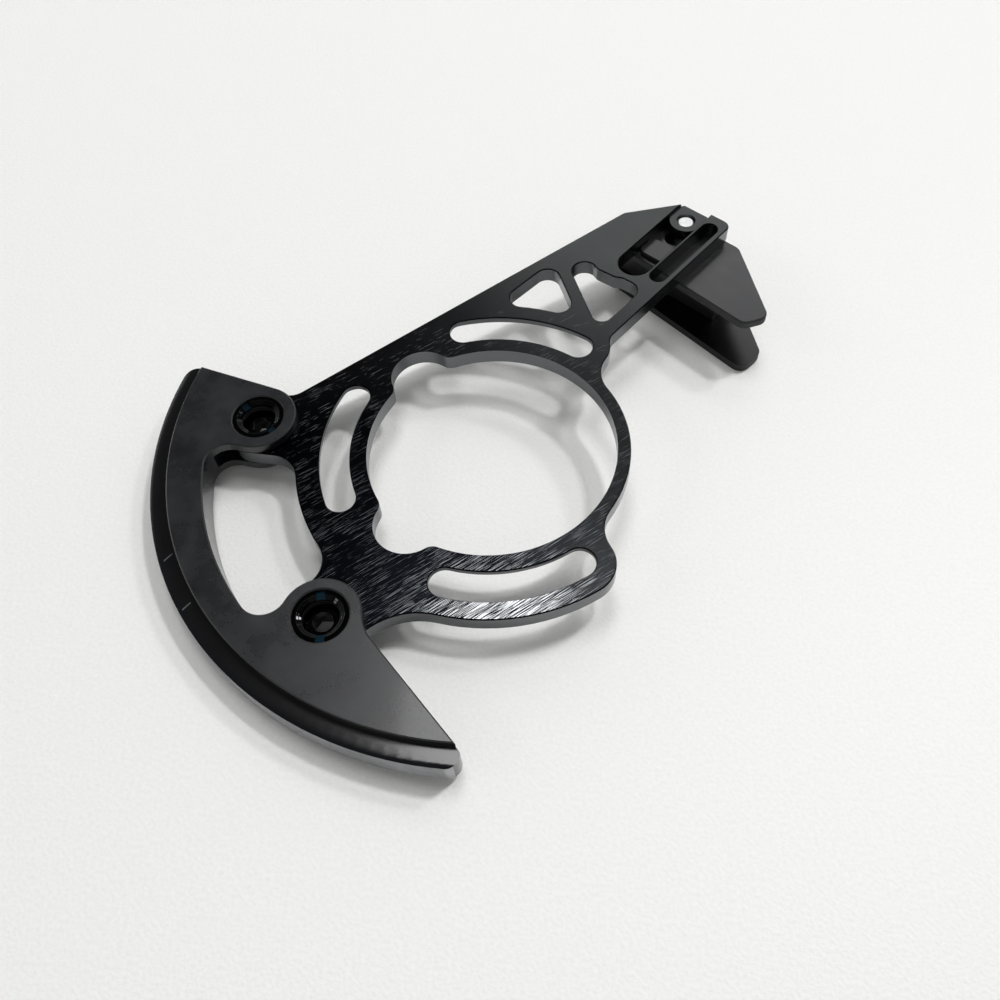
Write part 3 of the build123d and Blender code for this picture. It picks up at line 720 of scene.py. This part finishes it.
rim_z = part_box("bash_guard")[0].z
cheek_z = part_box("top_guide")[0].z
slope = math.atan2(rim_z - cheek_z, CHEEK_REACH - RIM_REACH)
downhill = Vector((math.cos(REST_ANGLE), math.sin(REST_ANGLE), 0))
up = downhill * math.sin(slope) + Vector((0, 0, math.cos(slope)))
touch = downhill * RIM_REACH + Vector((0, 0, rim_z))
lean = Vector((0, 0, 1)).rotation_difference(up).to_matrix().to_4x4()

bpy.ops.mesh.primitive_plane_add(size=FLOOR_SIZE)
table = bpy.context.object
table.name = "table"
table.matrix_world = Matrix.Translation(touch) @ lean
print("table slopes", round(math.degrees(slope), 2), "degrees")

# %% [markdown]
# ## White laminate
# The table top is a pale laminate pressed with fine pebbles, which only show as a slight roughness of
# its sheen.

# %% Pebbled laminate
PEBBLE_SIZE = 0.8 * MM
PEBBLE_DEPTH = 0.1 * MM

laminate, tree = empty_material("white_laminate")
place = node(tree, "ShaderNodeTexCoord")
pebble = node(tree, "ShaderNodeTexNoise", {
    "Vector": place.outputs["Object"], "Scale": 1 / PEBBLE_SIZE, "Detail": 1.0,
})
tilt = node(tree, "ShaderNodeBump", {
    "Height": pebble.outputs["Fac"], "Distance": PEBBLE_DEPTH, "Strength": 0.8,
})
colour = node(tree, "ShaderNodeMix", {
    "Factor": pebble.outputs["Fac"], "A": linear("#f0f0ee"), "B": linear("#fbfbf9"),
}, data_type="RGBA")
surface = node(tree, "ShaderNodeBsdfPrincipled", {
    "Base Color": colour.outputs["Result"], "Roughness": 0.5, "Normal": tilt.outputs["Normal"],
})
node(tree, "ShaderNodeOutputMaterial", {"Surface": surface.outputs["BSDF"]})
table.data.materials.append(laminate)
print("pebbles", PEBBLE_SIZE / MM, "mm")

# %% [markdown]
# ## The room
# Black parts show little but what they mirror, so the room matters as much as the finishes. The walls are
# pale up to a third of the way to the top, and on the far side the ceiling above them is dim, because the
# plate and the guard mirror it and are dark there. The near side, behind the viewer, is mirrored by no
# flat face, so it stays pale to the top and softens the shadows. A ramp over the height of a direction
# paints the bands, and its forward share tells the far side from the near one.

# %% World by height and side
# Sine of the elevation, and the light from there as a share of the brightest band
BANDS = ((0.0, 1.0), (0.5, 1.0), (0.62, 0.12), (1.0, 0.12))
NEAR_LEVEL, FAR_LEVEL = 0.4, 0.7
# The forward share over which the level changes, and over which the near side turns pale to the top
LEVEL_TURN = 0.5
NEAR_FROM, NEAR_TO = -0.2, -0.45

world = bpy.data.worlds.new("bright_room")
bpy.context.scene.world = world
world.use_nodes = True
tree = world.node_tree
tree.nodes.clear()
place = node(tree, "ShaderNodeTexCoord")
direction = node(tree, "ShaderNodeSeparateXYZ", {"Vector": place.outputs["Generated"]})
room = node(tree, "ShaderNodeValToRGB", {"Fac": direction.outputs["Z"]})
while len(room.color_ramp.elements) < len(BANDS):
    room.color_ramp.elements.new(0.5)
for element, (height, share) in zip(room.color_ramp.elements, BANDS):
    element.position = height
    element.color = (share, share, share, 1)
near_side = node(tree, "ShaderNodeMapRange", {
    "Value": direction.outputs["Y"], "From Min": NEAR_FROM, "From Max": NEAR_TO,
}, interpolation_type="SMOOTHSTEP")
shares = node(tree, "ShaderNodeMix", {
    "Factor": near_side.outputs["Result"], "A": room.outputs["Color"], "B": linear("#ffffff"),
}, data_type="RGBA")
strength = node(tree, "ShaderNodeMapRange", {
    "Value": direction.outputs["Y"], "From Min": -LEVEL_TURN, "From Max": LEVEL_TURN,
    "To Min": NEAR_LEVEL, "To Max": FAR_LEVEL,
})
sky = node(tree, "ShaderNodeBackground", {
    "Color": shares.outputs["Result"], "Strength": strength.outputs["Result"],
})
node(tree, "ShaderNodeOutputWorld", {"Surface": sky.outputs["Background"]})
print("world bands:", len(BANDS))

# %% [markdown]
# ## Lamps
# Five soft panels light the part. One hangs almost overhead, and its edge runs across the tip of the
# guard as a soft line between dark and pale. A wide window at the back shines in the scratches of the
# lower slot. A panel high at the back right casts the shadows that fall towards the viewer, and a weaker
# one on either side lights the walls that the others miss.

# %% Soft panels
DOWN, TO_VIEWER = (0, 0, -1), (0, -1, 0)
# Place and size in metres, power in watts, and the direction of the light, or none for towards the part
PANELS = (
    ("panel_over", (-0.07, 0.525, 1.6), (0.44, 0.85), 7.1, DOWN),
    ("window_back", (0.5, 2.0, 1.8), (1.4, 0.8), 7.0, TO_VIEWER),
    ("panel_top", (1.87, 1.62, 3.6), (0.5, 0.5), 70.0, DOWN),
    ("panel_right", (2.7, 2.4, 3.0), (0.5, 0.5), 34.0, None),
    ("panel_left", (-3.0, -0.9, 2.6), (0.5, 0.5), 6.0, None),
)

for name, where, size, power, aim in PANELS:
    lamp = bpy.data.lights.new(name, "AREA")
    lamp.shape = "RECTANGLE"
    lamp.size, lamp.size_y = size
    lamp.energy = power
    panel = bpy.data.objects.new(name, lamp)
    bpy.context.collection.objects.link(panel)
    panel.location = where
    panel.rotation_mode = "QUATERNION"
    light_way = Vector(aim) if aim else -Vector(where)
    panel.rotation_quaternion = light_way.to_track_quat("-Z", "Y")
    print(name, power, "W")
bpy.context.scene.view_settings.view_transform = "Standard"

# %% [markdown]
# ## Camera
# The camera stands where the photograph was taken: close above the lower side of the part, looking down
# steeply and turned a little, with a slightly wide lens.

# %% Camera
SENSOR_WIDTH, LENS = 36, 34.92
STAND = Vector((16.333, -131.407, 180.598)) * MM
TURN, NOD, ROLL = math.radians(6.75), math.radians(33.022), math.radians(-5.404)
NEAREST = 10 * MM

eye = bpy.data.cameras.new("camera")
eye.sensor_width = SENSOR_WIDTH
eye.lens = LENS
eye.clip_start = NEAREST
camera = bpy.data.objects.new("camera", eye)
bpy.context.collection.objects.link(camera)
camera.matrix_world = (
    Matrix.Translation(STAND)
    @ Matrix.Rotation(TURN, 4, "Z")
    @ Matrix.Rotation(NOD, 4, "X")
    @ Matrix.Rotation(ROLL, 4, "Z")
)
bpy.context.scene.camera = camera
print("camera at", [round(v, 3) for v in camera.location])
